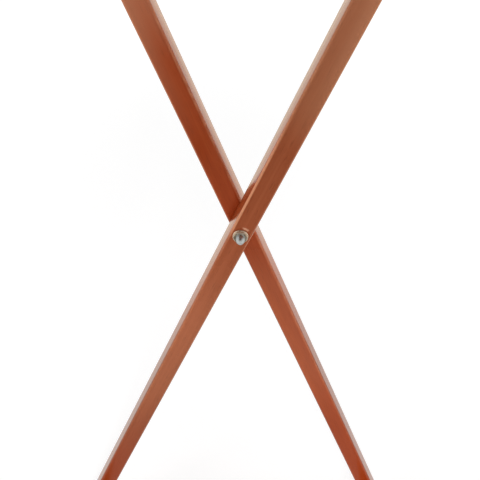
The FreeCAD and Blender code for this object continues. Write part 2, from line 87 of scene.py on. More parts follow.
# The nut's plate: the dome's edge, where the hexagon's tarnish and painted shade begin and where they are
# full, and its gloss
NUT_DOME_EDGE = 0.2 * MM
NUT_TARNISH_AND_SHADE_FACING = (0.5, 0.8)
NUT_TARNISH_AND_SHADE_SIDES = (2.0 * MM, 3.6 * MM)
NUT_TARNISH_AND_SHADE_LEAST = 0.45
NUT_CLOUD_EDGE = (0.2, 0.6)
NUT_CLOUD_LEAST = 0.6
NUT_ROUGHNESS = 0.33
NUT_CLOUD_ROUGHNESS = 0.14
NUT_HEX_ROUGHNESS = 0.22
NUT_RELIEF = 0.05

# The straps' mesh: points along a tail, round a rail, between the rails and across, and the rounding of the
# edges as a share of the thickness
STRAP_TAIL_STEPS = 4
STRAP_ARC_STEPS = 16
STRAP_SPAN_STEPS = 48
STRAP_ACROSS_STEPS = 12
STRAP_ROUNDING = 0.35

# The webbing's herringbone, its fluff and its fading
CHEVRON_WIDTH = 4.75 * MM
TWILL_PITCH = 1.9 * MM
YARN_PITCH = 0.95 * MM
YARN_DEPTH = 0.4 * MM
YARN_LEAST = 0.5
YARN_RELIEF = 0.7
YARN_ROUGHNESS = 0.85
YARN_SHEEN = 0.25
YARN_SHEEN_ROUGHNESS = 0.5
FLUFF_SHARE = 0.3
FLUFF_RELIEF = 0.2
FADING_EDGE = (0.35, 0.7)
FADING_MOST = 0.25
FADING_GAIN = 1.4

# Grain frames: the turn that brings a piece's length to the texture's Z
GRAIN_INNER_LEG = (0, -LEAN, 0)
GRAIN_OUTER_LEG = (0, LEAN, 0)
GRAIN_ALONG_Y = (math.pi / 2, 0, 0)
GRAIN_ALONG_X = (0, -math.pi / 2, 0)

# How much further along the grain the second leg, tray side and tray end are cut than the first
LEG_SHIFT = 0.37
SIDE_SHIFT = 0.31
END_SHIFT = 0.43

# Patterns in the wood: how fast each changes across the grain, and how much slower along it
STREAKS = (95.0, 0.035)
RIBBONS = (26.0, 0.12)
FIBRES = (620.0, 0.02)
PORES = (1250.0, 0.06)
GRAIN_DEPTH = 0.2 * MM

# The patterns' shares in the wood's tone, where in it the stain's dark, middle and light colours lie, and how
# far the pores darken it
STREAK_SHARE = 0.62
RIBBON_SHARE = 0.38
FIBRE_SHARE = 0.16
TONE_STOPS = (0.30, 0.50, 0.70)
PORE_EDGE = (0.60, 0.72)
PORE_MOST = 0.30
PORE_SHADE = 0.45

# Varnish: its roughness and what the streaks add to it, its relief, and how strongly it bends light
VARNISH_ROUGHNESS = 0.10
STREAK_ROUGHNESS = 0.14
FIBRE_RELIEF = 0.35
VARNISH_RELIEF = 0.10
VARNISH_IOR = 1.44
COAT_IOR = 1.12
COAT_ROUGHNESS = 0.12
THIN_VARNISH_RELIEF = 0.05
THIN_VARNISH_IOR = 1.40

# Facing: a normal's part along an axis of the wood, where a kind of face begins and where it is full. For an
# arris it is what the largest part lacks
END_GRAIN = (0.80, 0.97)
END_GRAIN_MOST = 0.55
END_GRAIN_SHADE = 0.55
ARRIS = (0.01, 0.22)
SIDE_FACE = (0.7, 0.95)
SIDE_ARRIS_OUTSIDE = (0.25, 0.6)
SIDE_ARRIS_INSIDE = (0.998, 0.95)
UNDERSIDE = (0.2, -0.2)
UNDERSIDE_ROUGHNESS = (0.12, 0.62)

# Other patterns: how fast each changes, and the middle of what every pattern gives
NOISE_MIDDLE = 0.5
WORN_LIT_PATCHES = 60.0
# The next is the ragged edge of a nut's painted reflection
NUT_REFLECTION_EDGE = 520.0
METAL_SCRATCHES = 900.0
METAL_CLOUDS = 220.0
NUT_SCRATCHES = 1600.0
NUT_CLOUDS = 420.0
NYLON_GRAIN = 1500.0
NYLON_SCUFFS = 160.0
YARN_FLUFF = 2200.0
YARN_FADING = 40.0

# Metal: where its clouds begin and where they are full, their shade, and its scratches
METAL_CLOUD_EDGE = (0.3, 0.7)
METAL_CLOUD_SHADE = 0.86
METAL_RELIEF = 0.03
SCRATCH_DEPTH = 0.05 * MM

# Nylon: where scuffs begin and where they are full, how much lighter they are, and its matt grain
NYLON_SCUFF_EDGE = (0.45, 0.75)
NYLON_SCUFF_MOST = 0.35
NYLON_SCUFF_GAIN = 1.9
NYLON_SCUFF_LIFT = 0.02
NYLON_ROUGHNESS = 0.42
NYLON_GRAIN_ROUGHNESS = 0.2
NYLON_RELIEF = 0.15
NYLON_DEPTH = 0.1 * MM

# Colours
STAIN = ((0.297, 0.041, 0.010), (0.365, 0.060, 0.016), (0.432, 0.083, 0.026))
STAIN_BROWN = ((0.270, 0.062, 0.026), (0.338, 0.088, 0.039), (0.405, 0.117, 0.057))
STAIN_BOARD = ((0.235, 0.033, 0.008), (0.360, 0.062, 0.017), (0.470, 0.098, 0.033))
STAIN_PANEL = ((0.250, 0.057, 0.023), (0.338, 0.084, 0.034), (0.466, 0.132, 0.057))
STAIN_PEG = ((0.121, 0.027, 0.012), (0.176, 0.041, 0.018), (0.230, 0.058, 0.026))
VARNISH_TINT = (1.0, 0.42, 0.18)
SHELLAC_TINT = (1.0, 0.91, 0.77)
# Paler wood: worn arrises, and also painted light and painted highlights
WORN_LIT_WOOD = (0.62, 0.29, 0.19)
# A nut's painted reflection in the varnish
NUT_REFLECTION_COLOUR = (0.72, 0.42, 0.32)
SCUFFED_WOOD = (0.60, 0.40, 0.30)
# Painted light on the inner legs' upper part
PAINTED_LIGHT_UPPER_WOOD = (0.50, 0.27, 0.17)
# Painted shade at the feet: a deeper colour in place of the dark floor seen in the varnish there
SHADED_FEET_RED = (0.34, 0.045, 0.005)
SHADED_FEET_BROWN = (0.27, 0.034, 0.001)
NUT_DULL = (0.41, 0.445, 0.435)
NUT_BRIGHT = (0.49, 0.515, 0.50)
NUT_HEXAGON = (0.66, 0.56, 0.44)
# Tarnish and painted shade on the nut's hexagon
NUT_TARNISH_AND_SHADE = (0.20, 0.170, 0.120)
NICKEL = (0.46, 0.455, 0.43)
WASHER_STEEL = (0.60, 0.50, 0.38)
SCREW_STEEL = (0.66, 0.62, 0.53)
BRASS = (0.60, 0.40, 0.16)
DARK_NYLON = (0.045, 0.030, 0.024)
BROWN_NYLON = (0.10, 0.07, 0.055)
YARN_DARK = (0.028, 0.012, 0.008)
YARN_LIGHT = (0.135, 0.058, 0.034)
WHITE = (1, 1, 1)
BLACK = (0, 0, 0)

# Arrises are made paler in patches, as worn varnish and as a painted highlight: where in the pattern a patch
# begins and where it is full, and the least and the most of it
WORN_LIT_PATCH_EDGE = (0.35, 0.65)
WORN_LIT_PATCH_LEAST = 0.25
WORN_LIT_ARRIS_MOST = 0.55

# Wear of the stand's wood, with painted light near the top and painted shade near the floor. A pair of
# heights above the floor says where each begins and where it is full, and most is its share there
# Where the painted light on the upper parts fades out below the rails
PAINTED_LIGHT_END = (0.71, 0.63)
FADED_MOST = 0.12
SCUFFED_ROUGHNESS = 0.30
# Painted shade near the floor, on every face
SHADED_LOW = (0.28, 0.17)
SHADED_LOW_MOST = 0.35
SHADED_LOW_DARKNESS = 0.7
# Painted shade on the side faces low down
SHADED_SIDES = (0.43, 0.25)
SHADED_SIDES_MOST = 0.75
SHADED_SIDES_DARKNESS = 0.5
# Painted light on one side of a leg's upper part
PAINTED_LIGHT_SIDE_HEIGHTS = (0.50, 0.61)
# Painted light on an inner leg's upper part
PAINTED_LIGHT_UPPER = (0.51, 0.565)
PAINTED_LIGHT_UPPER_MOST = 0.30
# A painted highlight on an inner leg's arris above the crossing
PAINTED_HIGHLIGHT_ABOVE = (0.435, 0.455)
PAINTED_HIGHLIGHT_BELOW = (0.56, 0.49)
# Each piece: arrises worn and lit, painted light on the top, dull scuffing, and painted shade near the feet
BAR_WEAR_LIGHT_AND_SHADE = {
    "worn_lit_arrises": (0.18, 0.42), "worn_lit_arrises_least": 0.30, "worn_lit_arrises_most": WORN_LIT_ARRIS_MOST,
    "scuffed": (0.46, 0.34),
    "painted_light_top": (0.565, 0.62), "painted_light_top_most": 0.50,
    "shaded_feet": (0.20, 0.08), "shaded_feet_most": 0.75, "shaded_feet_colour": SHADED_FEET_RED,
}
OUTER_LEG_WEAR_LIGHT_AND_SHADE = BAR_WEAR_LIGHT_AND_SHADE | {
    "worn_lit_arrises": (0.40, 0.50), "worn_lit_arrises_least": 0.45, "worn_lit_arrises_most": 0.85,
    "scuffed": (0.44, 0.375),
    "lit_side": -1, "painted_light_side_most": 0.42,
}
INNER_LEG_WEAR_LIGHT_AND_SHADE = BAR_WEAR_LIGHT_AND_SHADE | {
    "worn_lit_arrises": (0.40, 0.46),
    "painted_light_top": (0.565, 0.645), "painted_light_top_most": 0.25,
    "shaded_feet": (0.22, 0.09), "shaded_feet_most": 1.0, "shaded_feet_colour": SHADED_FEET_BROWN,
    "lit_side": 1, "painted_light_side_most": 0.60,
}

# Painted light across a leg, from its middle line towards its lighter side
PAINTED_LIGHT_SIDE_ACROSS = (-4 * MM, 8 * MM)
PAINTED_HIGHLIGHT_ACROSS = (-2 * MM, -7 * MM)

# A painted reflection of each nut in the varnish beside it: its direction from the pivot, its inner and outer
# edge, its width as the cosine of an angle, and how ragged and strong it is
NUT_REFLECTION_TURN = math.radians(60)
NUT_REFLECTION_INNER = (6.2 * MM, 7.2 * MM)
NUT_REFLECTION_OUTER = (8.9 * MM, 7.7 * MM)
NUT_REFLECTION_WIDTH = (0.90, 0.97)
NUT_REFLECTION_RAGGED = 2.6 * MM
NUT_REFLECTION_MOST = 0.9

# The legs' side faces are sanded a little round: they drop by this times the square of the distance from the
# middle of the leg's depth
LEG_CROWN = 8.0

# The floor's half size and grey, and its glow near the object and far from it
# The weaker glow near the object is painted shade round it
FLOOR_HALF = 30.0
FLOOR_GREY = (0.52, 0.52, 0.52)
FLOOR_GLOW = (0.60, 1.0)
FLOOR_GLOW_REACH = (0.8, 6.0)
WORLD_LIGHT = 0.35


def shade(colour, share):
    """A colour made darker or lighter, at most white."""
    return [min(1.0, share * c) for c in colour]


def middle(node):
    """The middle of a node's box."""
    low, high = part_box(node)
    return (low + high) / 2


class Graph:
    """The nodes of a material or a world, with short calls to add and join them."""

    def __init__(self, owner):
        owner.use_nodes = True
        self.owner = owner
        self.tree = owner.node_tree
        self.tree.nodes.clear()

    def add(self, kind, inputs=None, **settings):
        """Add a node. inputs maps a socket's name or number to a value or to another node's output."""
        node = self.tree.nodes.new(kind)
        for key, value in settings.items():
            setattr(node, key, value)
        for key, value in (inputs or {}).items():
            self.put(node.inputs[key], value)
        return node

    def put(self, socket, value):
        """Set a socket, or link an output into it. Colours are opaque."""
        if isinstance(value, bpy.types.NodeSocket):
            self.tree.links.new(value, socket)
        elif socket.type == "RGBA":
            socket.default_value = (*value, 1.0)
        else:
            socket.default_value = value

    def coordinates(self):
        """The texture coordinates, by name."""
        return self.add("ShaderNodeTexCoord").outputs

    def parts(self, vector):
        """A vector's X, Y and Z."""
        return self.add("ShaderNodeSeparateXYZ", {0: vector}).outputs

    def math(self, operation, *values):
        """An operation on numbers."""
        return self.add("ShaderNodeMath", dict(enumerate(values)), operation=operation).outputs[0]

    def plus(self, first, second):
        return self.math("ADD", first, second)

    def minus(self, first, second):
        return self.math("SUBTRACT", first, second)

    def times(self, product, *others):
        for other in others:
            product = self.math("MULTIPLY", product, other)
        return product

    def wave(self, value, pitch, low):
        """A wave from low to 1."""
        swing = (1 - low) / 2
        sine = self.math("SINE", self.times(value, 2 * math.pi / pitch))
        return self.plus(self.times(sine, swing), 1 - swing)

    def vector(self, operation, *values):
        """An operation on vectors that gives a vector."""
        return self.add("ShaderNodeVectorMath", dict(enumerate(values)), operation=operation).outputs[0]

    def measure(self, operation, *values):
        """An operation on vectors that gives a number."""
        return self.add("ShaderNodeVectorMath", dict(enumerate(values)), operation=operation).outputs["Value"]

    def noise(self, vector, scale, detail=3.0, roughness=0.55, distortion=0.0):
        inputs = {"Vector": vector, "Scale": scale, "Detail": detail, "Roughness": roughness,
                  "Distortion": distortion}
        return self.add("ShaderNodeTexNoise", inputs).outputs["Fac"]

    def mapping(self, vector, kind="POINT", **inputs):
        """Move, turn or scale a vector. Words in inputs name the sockets."""
        sockets = {"Vector": vector}
        for name, value in inputs.items():
            sockets[name.capitalize()] = value
        return self.add("ShaderNodeMapping", sockets, vector_type=kind).outputs[0]

    def ramp(self, factor, positions, colours):
        """A ramp through colours at these positions."""
        node = self.add("ShaderNodeValToRGB", {0: factor})
        band = node.color_ramp
        while len(band.elements) < len(positions):
            band.elements.new(1.0)
        for element, position, colour in zip(band.elements, positions, colours):
            element.position = position
            element.color = (*colour, 1.0)
        return node.outputs[0]

    def span(self, value, low, high, to_low=0.0, to_high=1.0):
        """Map a range to another, smoothly and clamped."""
        inputs = {"Value": value, "From Min": low, "From Max": high, "To Min": to_low, "To Max": to_high}
        return self.add("ShaderNodeMapRange", inputs, interpolation_type="SMOOTHSTEP").outputs[0]

    def mix(self, factor, first, second):
        """Mix two colours, by the numbers of the colour sockets."""
        return self.add("ShaderNodeMix", {0: factor, 6: first, 7: second}, data_type="RGBA").outputs[2]

    def bump(self, height, strength, distance, **inputs):
        sockets = {"Height": height, "Strength": strength, "Distance": distance, **inputs}
        return self.add("ShaderNodeBump", sockets).outputs[0]

    def finish(self, **sockets):
        """End a material in a Principled shader with these sockets."""
        shader = self.add("ShaderNodeBsdfPrincipled")
        for name, value in sockets.items():
            self.put(shader.inputs[name.replace("_", " ")], value)
        self.add("ShaderNodeOutputMaterial", {0: shader.outputs[0]})
        return self.owner


class Wood(Graph):
    """Stained wood: long streaks, pores and end grain. Wear, painted light and painted shade are tinted over
    it before it is varnished.
    """

    def __init__(self, name, grain, tones, shift, figure=1.0):
        """tones are the stain's dark, middle and light colours. shift moves the pattern, figure widens it."""
        super().__init__(bpy.data.materials.new(name))
        coordinates = self.coordinates()
        self.place = coordinates["Object"]
        self.facing = coordinates["Normal"]
        self.level = self.parts(self.place)[2]
        self.along = self.mapping(self.place, rotation=grain, location=(shift, shift / 2, shift))
        self.dark = tones[0]
        self.draw_grain(tones, figure)
        self.find_faces(grain)
        end_grain = self.span(self.faces[2], *END_GRAIN, 0.0, END_GRAIN_MOST)
        self.tint(end_grain, shade(self.dark, END_GRAIN_SHADE))

    def pattern(self, pattern, figure=1.0, **settings):
        """A noise that is drawn out along the grain."""
        scale, slowness = pattern
        drawn_out = self.mapping(self.along, scale=(1, 1, slowness))
        return self.noise(drawn_out, scale / figure, **settings)

    def tint(self, factor, colour):
        """Mix a colour into the wood's."""
        self.colour = self.mix(factor, self.colour, colour)

    def draw_grain(self, tones, figure):
        """Colour, roughness and relief of the new wood."""
        streaks = self.pattern(STREAKS, figure, detail=5.0, roughness=0.6, distortion=0.4)
        ribbons = self.pattern(RIBBONS, figure, detail=2.0)
        fibres = self.pattern(FIBRES, detail=2.0, roughness=0.5)
        pores = self.span(self.pattern(PORES, detail=1.0), *PORE_EDGE)
        tone = self.plus(self.times(streaks, STREAK_SHARE), self.times(ribbons, RIBBON_SHARE))
        tone = self.plus(tone, self.times(self.minus(fibres, NOISE_MIDDLE), FIBRE_SHARE))
        self.colour = self.ramp(tone, TONE_STOPS, tones)
        self.tint(self.times(pores, PORE_MOST), shade(self.dark, PORE_SHADE))
        self.rough = self.plus(self.times(streaks, STREAK_ROUGHNESS), VARNISH_ROUGHNESS)
        self.relief = self.minus(self.times(fibres, FIBRE_RELIEF), pores)

    def find_faces(self, grain):
        """How far each point faces the sides, the front and the ends, and how far it is on an arris."""
        turned = self.mapping(self.facing, kind="VECTOR", rotation=grain)
        self.faces = self.parts(self.vector("ABSOLUTE", turned))
        largest = self.math("MAXIMUM", self.math("MAXIMUM", self.faces[0], self.faces[1]), self.faces[2])
        self.arris = self.span(self.minus(1.0, largest), *ARRIS)

    def wear_and_light_arrises(self, *shares):
        """Make the arrises paler in patches, as worn varnish and as a painted highlight."""
        patches = self.noise(self.along, WORN_LIT_PATCHES, detail=4.0)
        patches = self.span(patches, *WORN_LIT_PATCH_EDGE, WORN_LIT_PATCH_LEAST, 1.0)
        self.tint(self.times(self.arris, patches, *shares), WORN_LIT_WOOD)

    def wear_light_and_shade_by_height(self, wear_light_and_shade):
        """Arrises worn and given a painted highlight, most near the top, painted light on the top, scuffed
        dull below the middle and painted shade near the floor.
        """
        # Arrises worn and given a painted highlight, most near the top
        worn_lit_arrises = self.span(self.level, *wear_light_and_shade["worn_lit_arrises"], wear_light_and_shade["worn_lit_arrises_least"], 1.0)
        self.wear_and_light_arrises(wear_light_and_shade["worn_lit_arrises_most"], worn_lit_arrises)
        scuffed = self.span(self.level, *wear_light_and_shade["scuffed"])
        shaded_low = self.span(self.level, *SHADED_LOW)
        self.tint(self.times(self.minus(scuffed, shaded_low), FADED_MOST), SCUFFED_WOOD)
        # Painted light on the top
        painted_light_top = self.times(self.span(self.level, *wear_light_and_shade["painted_light_top"]),
                             self.span(self.level, *PAINTED_LIGHT_END, 0.0, wear_light_and_shade["painted_light_top_most"]))
        self.tint(painted_light_top, WORN_LIT_WOOD)
        # Painted shade near the floor
        self.tint(self.times(shaded_low, SHADED_LOW_MOST), shade(self.dark, SHADED_LOW_DARKNESS))
        # Painted shade at the feet, in a deeper colour
        self.tint(self.span(self.level, *wear_light_and_shade["shaded_feet"], 0.0, wear_light_and_shade["shaded_feet_most"]), wear_light_and_shade["shaded_feet_colour"])
        self.rough = self.plus(self.rough, self.times(scuffed, SCUFFED_ROUGHNESS))

    def across_leg(self, lit_side):
        """How far each point lies from a leg's middle line, towards its side with painted light."""
        outward = (lit_side * math.cos(LEAN), 0.0, -math.sin(LEAN))
        return self.plus(self.measure("DOT_PRODUCT", self.place, outward), CROSSING_HEIGHT * math.sin(LEAN))

    def paint_leg_light_and_shade(self, across, painted_light_side_most):
        """Painted shade on a leg's side faces low down, and painted light on one side of its upper part."""
        # Painted shade on the side faces low down
        shaded_sides = self.times(self.span(self.faces[0], *SIDE_FACE),
                           self.span(self.level, *SHADED_SIDES, 0.0, SHADED_SIDES_MOST))
        self.tint(shaded_sides, shade(self.dark, SHADED_SIDES_DARKNESS))
        # Painted light on one side of the upper part
        lighter_side = self.times(self.span(across, *PAINTED_LIGHT_SIDE_ACROSS),
                             self.span(self.level, *PAINTED_LIGHT_SIDE_HEIGHTS, 0.0, painted_light_side_most),
                             self.span(self.level, *PAINTED_LIGHT_END))
        self.tint(lighter_side, WORN_LIT_WOOD)

    def paint_inner_leg_light(self, across, pivot):
        """Painted light on the upper part, a painted highlight on the arris above the crossing and a painted
        reflection of the nut beside the washer.
        """
        # Painted light on the upper part
        painted_light_upper = self.times(self.span(self.level, *PAINTED_LIGHT_UPPER, 0.0, PAINTED_LIGHT_UPPER_MOST), self.span(self.level, *PAINTED_LIGHT_END))
        self.tint(painted_light_upper, PAINTED_LIGHT_UPPER_WOOD)
        # A painted highlight on the arris above the crossing
        painted_highlight = self.times(self.span(self.faces[0], *SIDE_ARRIS_OUTSIDE),
                              self.span(self.faces[0], *SIDE_ARRIS_INSIDE),
                              self.span(across, *PAINTED_HIGHLIGHT_ACROSS),
                              self.span(self.level, *PAINTED_HIGHLIGHT_ABOVE),
                              self.span(self.level, *PAINTED_HIGHLIGHT_BELOW))
        self.tint(painted_highlight, WORN_LIT_WOOD)
        # The nut's painted reflection in the varnish
        self.tint(self.painted_nut_reflection(pivot), NUT_REFLECTION_COLOUR)

    def painted_nut_reflection(self, pivot):
        """How strong the painted reflection of the nut is: a short ragged arc above the washer and to its
        right.
        """
        outward = (math.cos(NUT_REFLECTION_TURN), 0, math.sin(NUT_REFLECTION_TURN))
        aside = self.vector("SUBTRACT", self.place, (pivot.x, 0, pivot.z))
        aside = self.vector("MULTIPLY", aside, (1, 0, 1))
        ragged = self.minus(self.noise(self.place, NUT_REFLECTION_EDGE, detail=4.0), NOISE_MIDDLE)
        reach = self.plus(self.measure("LENGTH", aside), self.times(ragged, NUT_REFLECTION_RAGGED))
        cosine = self.math("DIVIDE", self.measure("DOT_PRODUCT", aside, outward), reach)
        return self.times(self.span(reach, *NUT_REFLECTION_INNER), self.span(reach, *NUT_REFLECTION_OUTER),
                          self.span(cosine, *NUT_REFLECTION_WIDTH, 0.0, NUT_REFLECTION_MOST))

    def sanded_round(self, mid_depth, normal):
        """Tilt a leg's side faces a little towards its front and its back, from the middle of its depth."""
        aside = self.minus(self.parts(self.place)[1], mid_depth)
        return self.bump(self.times(aside, aside, -LEG_CROWN), 1.0, 1.0, Normal=normal)

    def varnished(self, mid_depth=None):
        """End in glossy varnish, on side faces that are sanded round where the middle of a depth is given."""
        normal = self.bump(self.relief, VARNISH_RELIEF, GRAIN_DEPTH)
        if mid_depth is not None:
            normal = self.sanded_round(mid_depth, normal)
        return self.finish(Base_Color=self.colour, Roughness=self.rough, Normal=normal, IOR=VARNISH_IOR,
                           Specular_Tint=VARNISH_TINT, Coat_Weight=1.0, Coat_IOR=COAT_IOR,
                           Coat_Roughness=COAT_ROUGHNESS, Coat_Tint=SHELLAC_TINT)

    def dull_below(self):
        """End in a thin varnish that is dull on what faces down."""
        upward = self.parts(self.facing)[2]
        rough = self.plus(self.rough, self.span(upward, *UNDERSIDE, *UNDERSIDE_ROUGHNESS))
        normal = self.bump(self.relief, THIN_VARNISH_RELIEF, GRAIN_DEPTH)
        return self.finish(Base_Color=self.colour, Roughness=rough, Normal=normal, IOR=THIN_VARNISH_IOR)


def board_wood(name, grain, tones, shift):
    """Varnished wood of a tray board or a peg."""
    wood = Wood(name, grain, tones, shift)
    wood.wear_and_light_arrises(WORN_LIT_ARRIS_MOST)
    return wood.varnished()


def lower_wood(name, tones, shift, figure=1.0):
    """Wood of the tray's panel and cleats, whose undersides are dull."""
    wood = Wood(name, GRAIN_ALONG_Y, tones, shift, figure)
    wood.wear_and_light_arrises(WORN_LIT_ARRIS_MOST)
    return wood.dull_below()


def bar_wood(name, tones, shift):
    """Wood of the stand's rails and stretchers."""
    wood = Wood(name, GRAIN_ALONG_Y, tones, shift)
    wood.wear_light_and_shade_by_height(BAR_WEAR_LIGHT_AND_SHADE)
    return wood.varnished()


def leg_wood(leg, grain, tones, shift, wear_light_and_shade, reflected_nut=None):
    """Wood of a leg. An inner leg gets a painted reflection of the nut that is named."""
    wood = Wood(f"{leg}_wood", grain, tones, shift)
    wood.wear_light_and_shade_by_height(wear_light_and_shade)
    across = wood.across_leg(wear_light_and_shade["lit_side"])
    wood.paint_leg_light_and_shade(across, wear_light_and_shade["painted_light_side_most"])
    if reflected_nut:
        wood.paint_inner_leg_light(across, middle(reflected_nut))
    return wood.varnished(middle(leg).y)


def metal(name, colour, roughness, grit=0.10):
    """Plated or bare metal with fine wear marks."""
    graph = Graph(bpy.data.materials.new(name))
    place = graph.coordinates()["Object"]
    scratches = graph.noise(place, METAL_SCRATCHES, detail=4.0)
    cloud = graph.noise(place, METAL_CLOUDS, detail=3.0)
    tint = graph.mix(graph.span(cloud, *METAL_CLOUD_EDGE), shade(colour, METAL_CLOUD_SHADE), colour)
    rough = graph.plus(graph.times(cloud, grit), roughness)
    return graph.finish(Base_Color=tint, Metallic=1.0, Roughness=rough,
                        Normal=graph.bump(scratches, METAL_RELIEF, SCRATCH_DEPTH))


def cap_nut_plate(name, axis):
    """Dull plate on a cap nut: a dome that is rubbed bright, on a hexagon darkened by tarnish and painted
    shade, most at its sides.
    """
    graph = Graph(bpy.data.materials.new(name))
    coordinates = graph.coordinates()
    place = coordinates["Object"]
    cloud = graph.noise(place, NUT_CLOUDS, detail=4.0)
    scratches = graph.noise(place, NUT_SCRATCHES, detail=3.0)
    aside = graph.vector("SUBTRACT", place, tuple(axis))
    aside = graph.vector("MULTIPLY", aside, (1, 0, 1))
    reach = graph.measure("LENGTH", aside)
    hexagon = graph.span(reach, NUT_DOME_RADIUS, NUT_DOME_RADIUS + NUT_DOME_EDGE)
    outward = graph.math("ABSOLUTE", graph.parts(coordinates["Normal"])[1])
    sideways = graph.math("ABSOLUTE", graph.parts(aside)[0])
    # Tarnish and painted shade on the hexagon's face, most at its sides
    tarnish_and_shade = graph.times(hexagon, graph.span(outward, *NUT_TARNISH_AND_SHADE_FACING),
                          graph.span(sideways, *NUT_TARNISH_AND_SHADE_SIDES, NUT_TARNISH_AND_SHADE_LEAST, 1.0),
                          graph.span(cloud, *NUT_CLOUD_EDGE, NUT_CLOUD_LEAST, 1.0))
    colour = graph.mix(hexagon, graph.mix(cloud, NUT_DULL, NUT_BRIGHT), NUT_HEXAGON)
    colour = graph.mix(tarnish_and_shade, colour, NUT_TARNISH_AND_SHADE)
    rough = graph.plus(graph.times(hexagon, NUT_HEX_ROUGHNESS), graph.times(cloud, NUT_CLOUD_ROUGHNESS))
    return graph.finish(Base_Color=colour, Metallic=1.0, Roughness=graph.plus(rough, NUT_ROUGHNESS),
                        Normal=graph.bump(scratches, NUT_RELIEF, SCRATCH_DEPTH))


def nylon(name, colour):
    """Moulded nylon with a fine matt grain, scuffed paler."""
    scuffed = [min(1.0, NYLON_SCUFF_GAIN * c + NYLON_SCUFF_LIFT) for c in colour]
    graph = Graph(bpy.data.materials.new(name))
    place = graph.coordinates()["Object"]
    grain = graph.noise(place, NYLON_GRAIN, detail=3.0)
    scuffs = graph.span(graph.noise(place, NYLON_SCUFFS, detail=5.0), *NYLON_SCUFF_EDGE)
    tint = graph.mix(graph.times(scuffs, NYLON_SCUFF_MOST), colour, scuffed)
    rough = graph.plus(graph.times(grain, NYLON_GRAIN_ROUGHNESS), NYLON_ROUGHNESS)
    return graph.finish(Base_Color=tint, Roughness=rough,
                        Normal=graph.bump(grain, NYLON_RELIEF, NYLON_DEPTH))


def webbing():
    """Herringbone webbing. The mesh's UVs are metres along and across the strap."""
    graph = Graph(bpy.data.materials.new("herringbone_webbing"))
    place = graph.coordinates()["UV"]
    along, across, _ = graph.parts(place)
    slant = graph.plus(along, graph.math("PINGPONG", across, CHEVRON_WIDTH))
    twill = graph.wave(slant, TWILL_PITCH, low=0.0)
    yarn = graph.times(graph.wave(across, YARN_PITCH, low=YARN_LEAST), twill)
    fluff = graph.noise(place, YARN_FLUFF, detail=3.0)
    fading = graph.span(graph.noise(place, YARN_FADING, detail=3.0), *FADING_EDGE, 0.0, FADING_MOST)
    tone = graph.plus(graph.times(yarn, 1 - FLUFF_SHARE), graph.times(fluff, FLUFF_SHARE))
    colour = graph.mix(tone, YARN_DARK, YARN_LIGHT)
    colour = graph.mix(fading, colour, shade(YARN_LIGHT, FADING_GAIN))
    height = graph.plus(yarn, graph.times(fluff, FLUFF_RELIEF))
    return graph.finish(Base_Color=colour, Roughness=YARN_ROUGHNESS, Sheen_Weight=YARN_SHEEN,
                        Sheen_Roughness=YARN_SHEEN_ROUGHNESS,
                        Normal=graph.bump(height, YARN_RELIEF, YARN_DEPTH))


def dress(node, material):
    """Give a CAD node one material."""
    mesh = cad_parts[node].data
    mesh.materials.clear()
    mesh.materials.append(material)


def dress_legs(side, grain, stain, wear_light_and_shade, shift):
    """The two legs of a frame, each with its own stretch of grain."""
    for number, end in enumerate(ENDS):
        leg = f"{side}_leg_{end}"
        reflected_nut = f"cap_nut_{end}" if side == "inner" else None
        dress(leg, leg_wood(leg, grain, stain, shift + LEG_SHIFT * number, wear_light_and_shade, reflected_nut))


def dress_bars(side, stain):
    """The top rail of a frame, its pegs and the stretcher."""
    bars = bar_wood(f"{side}_bar_wood", stain, shift=0.23)
    dress(f"{side}_top_rail", bars)
    dress(f"{side}_stretcher", bars)
    dress(f"{side}_rail_pegs", board_wood(f"{side}_peg_wood", GRAIN_ALONG_X, STAIN_PEG, shift=0.5))


def dress_fittings():
    """The tacks and the glides of both frames."""
    brass = metal("aged_brass", BRASS, roughness=0.22, grit=0.24)
    glide = nylon("dark_nylon", DARK_NYLON)
    for side in ("inner", "outer"):
        dress(f"{side}_strap_tacks", brass)
        for end in ENDS:
            dress(f"{side}_glide_{end}", glide)


def dress_pivots():
    """The bolts, washers and spacers at the two crossings."""
    nickel = metal("nickel_plate", NICKEL, roughness=0.20)
    washer_steel = metal("washer_plate", WASHER_STEEL, roughness=0.42)
    spacer = nylon("brown_nylon", BROWN_NYLON)
    for end in ENDS:
        dress(f"pivot_bolt_{end}", nickel)
        dress(f"nut_washer_{end}", washer_steel)
        dress(f"head_washer_{end}", washer_steel)
        dress(f"spacer_washer_{end}", spacer)


def dress_stand():
    """Wood, metal and nylon of the two frames."""
    dress_legs("inner", GRAIN_INNER_LEG, STAIN_BROWN, INNER_LEG_WEAR_LIGHT_AND_SHADE, shift=0.71)
    dress_bars("inner", STAIN_BROWN)
    dress_legs("outer", GRAIN_OUTER_LEG, STAIN, OUTER_LEG_WEAR_LIGHT_AND_SHADE, shift=0.0)
    dress_bars("outer", STAIN)
    dress_fittings()
    dress_pivots()


def dress_tray():
    """Wood of the tray, each board with its own stretch of grain."""
    dress("tray_panel", lower_wood("panel_wood", STAIN_PANEL, shift=0.11, figure=2.2))
    for number, hand in enumerate(("left", "right")):
        further = SIDE_SHIFT * number
        side = board_wood(f"side_{hand}_wood", GRAIN_ALONG_Y, STAIN_BOARD, shift=0.9 + further)
        dress(f"tray_side_{hand}", side)
        dress(f"tray_cleat_{hand}", lower_wood(f"cleat_{hand}_wood", STAIN_BROWN, shift=1.7 + further))
    for number, end in enumerate(ENDS):
        board = board_wood(f"end_{end}_wood", GRAIN_ALONG_X, STAIN_BOARD, shift=0.4 + END_SHIFT * number)
        dress(f"tray_end_{end}", board)
    dress("cleat_screws", metal("screw_plate", SCREW_STEEL, roughness=0.28))


